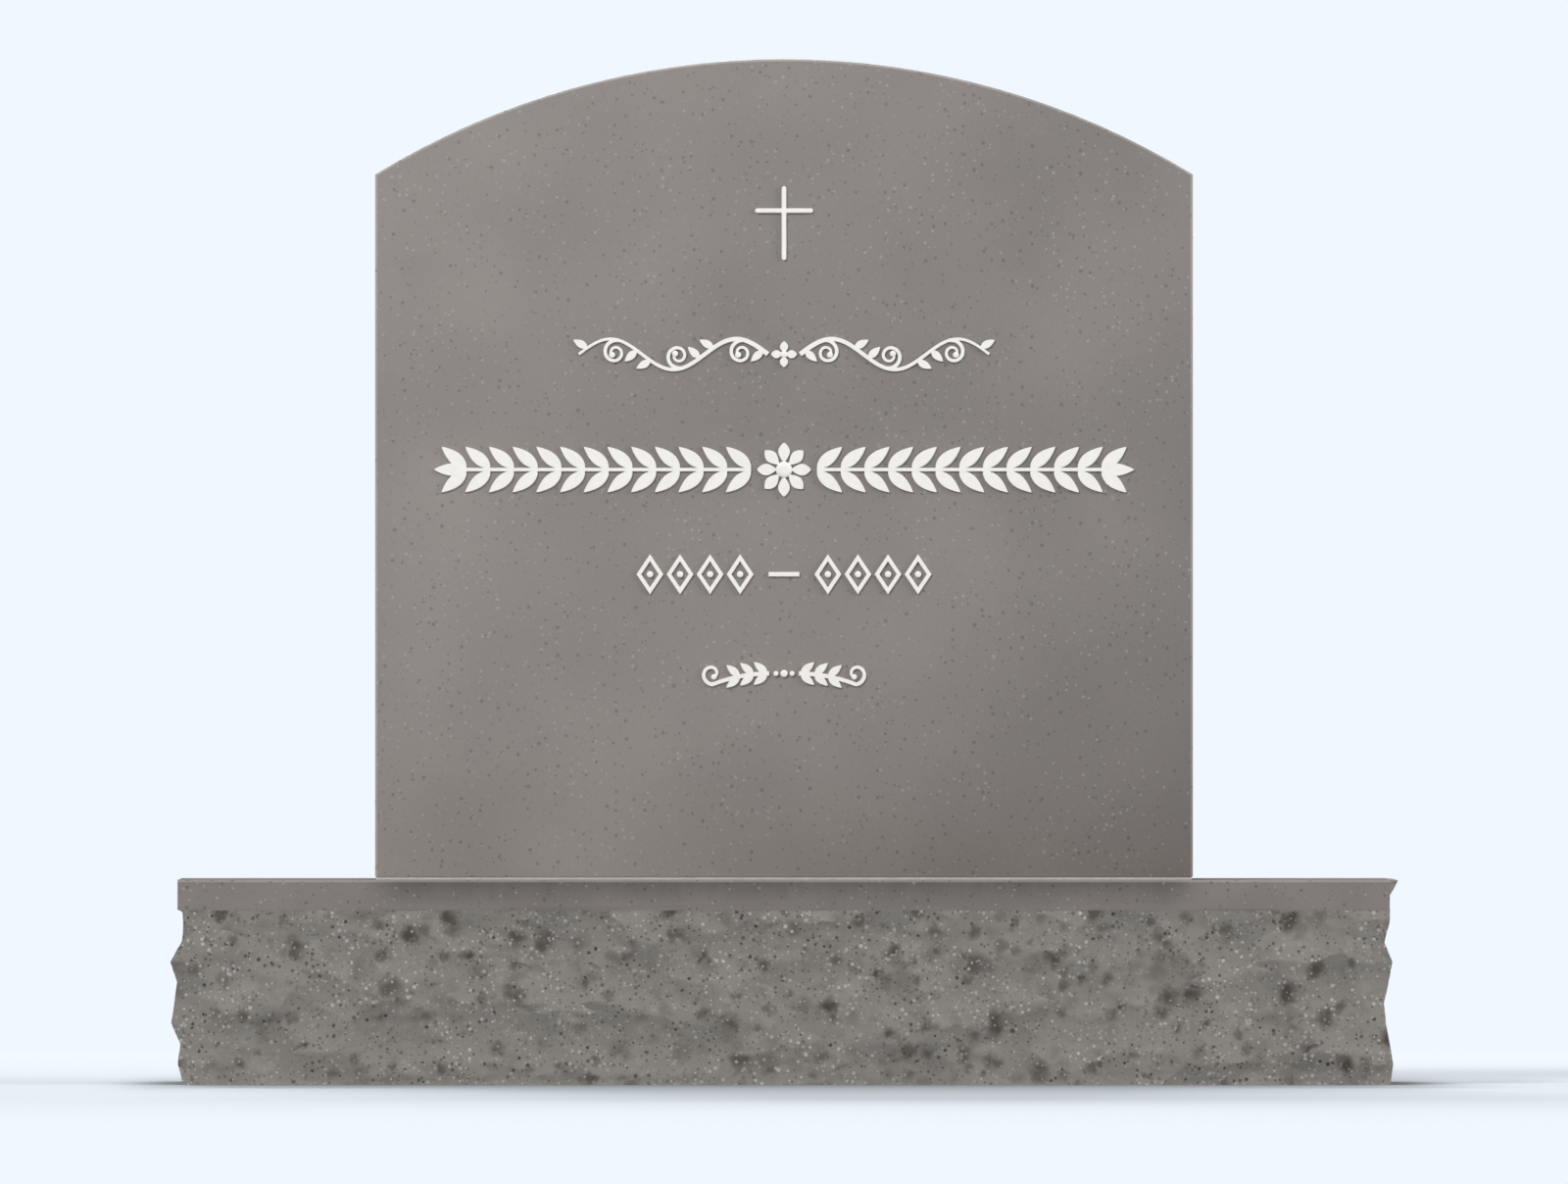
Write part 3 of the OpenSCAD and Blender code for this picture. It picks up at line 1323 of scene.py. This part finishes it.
@dataclass
class Spray(Relief):
    """A small spray: two leafy sprigs that run out from three beads and curl over.

    Attributes:
        strand: Half the width of a sprig's stem.
        start: Where a sprig starts, from the row's middle.
        pairs: Pairs of leaves on each sprig.
    """

    strand: float = 1.7 * MM
    start: float = 11 * MM
    pairs: int = 3

    def carve(self) -> None:
        """Lays the sprigs, their leaves and the beads."""
        steps = 20
        hook = self.tall * 0.34
        run = self.half - hook - self.strand - self.start
        leaves: list[Place] = []
        for side in (1, -1):
            stem = [(self.start + run * step / steps, -hook * (step / steps) ** 2) for step in range(steps)]
            top = (self.start + run, 0.0)
            end = curl(top, hook, -math.pi / 2, math.pi * 1.35, shrink=0.35, steps=40)
            sprig = [(side * x, z) for x, z in stem + end]
            self.lay(self.plate(ribbon(sprig, thick=self.strand, thin=0.6 * self.strand)))
            self.lay(self.bead(radius=1.2 * self.strand), sprig[-1])
            for pair in range(self.pairs):
                share = (0.1 + 0.72 * pair) / self.pairs
                leaves += leaf_pair(side, (self.start + run * share, -hook * share**2), self.spread)
        self.lay_copies(self.leaf(length=13.5 * MM, width=6 * MM), leaves)
        for x, radius in millimetres((-6.0, 1.9), (0.0, 2.7), (6.0, 1.9)):
            self.lay(self.bead(radius), (x, 0.0))


# ---- studio


@dataclass(frozen=True)
class Lamp:
    """A large soft lamp.

    Attributes:
        name: Its name.
        place: Where it hangs, from what it points at.
        power: Its power in watts.
        size: Its width and height.
    """

    name: str
    place: tuple[float, float, float]
    power: float
    size: Point

    def hang(self, aim: Vector) -> None:
        """Hangs the lamp.

        Args:
            aim: What it points at.
        """
        place = aim + Vector(self.place)
        bpy.ops.object.light_add(type="AREA", location=place)
        lamp = bpy.context.object
        lamp.name = self.name
        lamp.data.energy = self.power
        lamp.data.shape = "RECTANGLE"
        lamp.data.size, lamp.data.size_y = self.size
        lamp.rotation_euler = (aim - place).to_track_quat("-Z", "Y").to_euler()


@dataclass
class Studio:
    """A plain pale studio round the stone.

    Attributes:
        backdrop: Colour of the floor and of what lies behind, in linear light.
        ambient: Strength of the even light from all round.
        lamps: One high at the front left, one at the right, one behind.
        floor_light: Light that falls on the open floor, where 1 shows a colour as it is written.
        bounce: Share of its light that the floor throws back onto the stone.
        nook: How far from the stone the floor is still shaded by it.
        ends: How far beyond the stone's ends that shade fades out.
        away: Distance from the camera to the front of the base.
        wide: Width of the view at that distance.
        eye: Height of the camera.
    """

    backdrop: Colour = srgb(240, 247, 255)
    ambient: float = 0.42
    lamps: Sequence[Lamp] = (
        Lamp("key", (-5.0, -9.0, 6.2), 770.0, (3.0, 3.0)),
        Lamp("fill", (9.0, -3.6, 2.6), 390.0, (3.0, 3.0)),
        Lamp("back", (-1.0, 11.0, 5.6), 1500.0, (5.0, 2.5)),
    )
    floor_light: float = 1.33
    bounce: float = 0.6
    nook: float = 0.9
    ends: float = 0.06
    away: float = 40.0
    wide: float = 1.1667
    eye: float = 0.3668

    def world(self) -> None:
        """Even light, with the pale backdrop where it is seen or mirrored."""
        world = bpy.data.worlds.new("studio")
        bpy.context.scene.world = world
        sheet = Sheet(world)
        seen = sheet.seen("Camera", "Glossy", "Transmission")
        even = sheet.add("ShaderNodeBackground", {0: (1.0, 1.0, 1.0), 1: self.ambient})
        pale = sheet.add("ShaderNodeBackground", {0: self.backdrop, 1: 1.0})
        mix = sheet.add("ShaderNodeMixShader", {0: seen, 1: even, 2: pale})
        sheet.add("ShaderNodeOutputWorld", {0: mix})

    def floor(self) -> None:
        """A wide floor that keeps the stone's shadow and runs out into the backdrop."""
        bpy.ops.mesh.primitive_plane_add(size=300.0, location=(0.0, 0.0, 0.0))
        floor = bpy.context.object
        floor.name = "floor"
        sheet = Sheet(bpy.data.materials.new("floor"))
        seen = sheet.seen("Camera", "Glossy")
        away = sheet.vector("LENGTH", {0: sheet.place}).outputs["Value"]
        far = sheet.product(sheet.fade(away, low=1.2, high=3.4), seen)
        tone = tuple(part / self.floor_light for part in self.backdrop)
        nook = sheet.add("ShaderNodeAmbientOcclusion", {"Distance": self.nook}, samples=8)
        shade = sheet.math("POWER", nook.outputs["AO"], 1.3)
        aside = sheet.math("ABSOLUTE", sheet.split(sheet.place)[0])
        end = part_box("base")[1].x
        clear = sheet.fade(aside, end, end + self.ends)
        shade = sheet.math("MULTIPLY_ADD", sheet.math("SUBTRACT", 1.0, shade), clear, shade)
        share = sheet.math("MULTIPLY_ADD", seen, sheet.math("SUBTRACT", shade, self.bounce), self.bounce)
        matt = sheet.add("ShaderNodeBsdfDiffuse", {"Color": sheet.scaled(tone, share)})
        glow = sheet.add("ShaderNodeEmission", {"Color": self.backdrop, "Strength": 1.0})
        mix = sheet.add("ShaderNodeMixShader", {0: far, 1: matt, 2: glow})
        sheet.add("ShaderNodeOutputMaterial", {"Surface": mix})
        floor.data.materials.append(sheet.owner)

    def camera(self) -> None:
        """A long lens straight in front, so that the sides run square."""
        place = (0.0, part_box("base")[0].y - self.away, self.eye)
        bpy.ops.object.camera_add(location=place, rotation=(math.pi / 2, 0.0, 0.0))
        camera = bpy.context.object
        camera.name = "camera"
        camera.data.sensor_width = 36.0
        camera.data.lens = camera.data.sensor_width * self.away / self.wide
        camera.data.clip_start = 1.0
        camera.data.clip_end = 400.0
        bpy.context.scene.camera = camera

    def build(self) -> None:
        """Sets up the whole studio."""
        bpy.context.scene.view_settings.view_transform = "Standard"
        self.world()
        self.floor()
        for lamp in self.lamps:
            lamp.hang(aim=Vector((0.0, 0.0, 0.4)))
        self.camera()
        LOG.info("studio: ready")


def main() -> None:
    """Builds the studio and every piece of the headstone in order."""
    logging.basicConfig(level=logging.INFO, format="%(name)s %(message)s")
    deselect_all()
    Studio().build()
    BaseStone().build()
    TabletStone().build()
    dress_node("setting_bed", Finish.COMPOUND)
    dress_node("cross", Finish.WHITE)
    Flourish("flourish", 0.220, 0.153, 30 * MM).build()
    Garland("garland", 0.306, 0.2615, 41 * MM).build()
    Lozenges("lozenges", 0.384, 0.110, 30 * MM).build()
    Spray("spray", 0.458, 0.0635, 24 * MM).build()


if __name__ == "__main__":
    main()
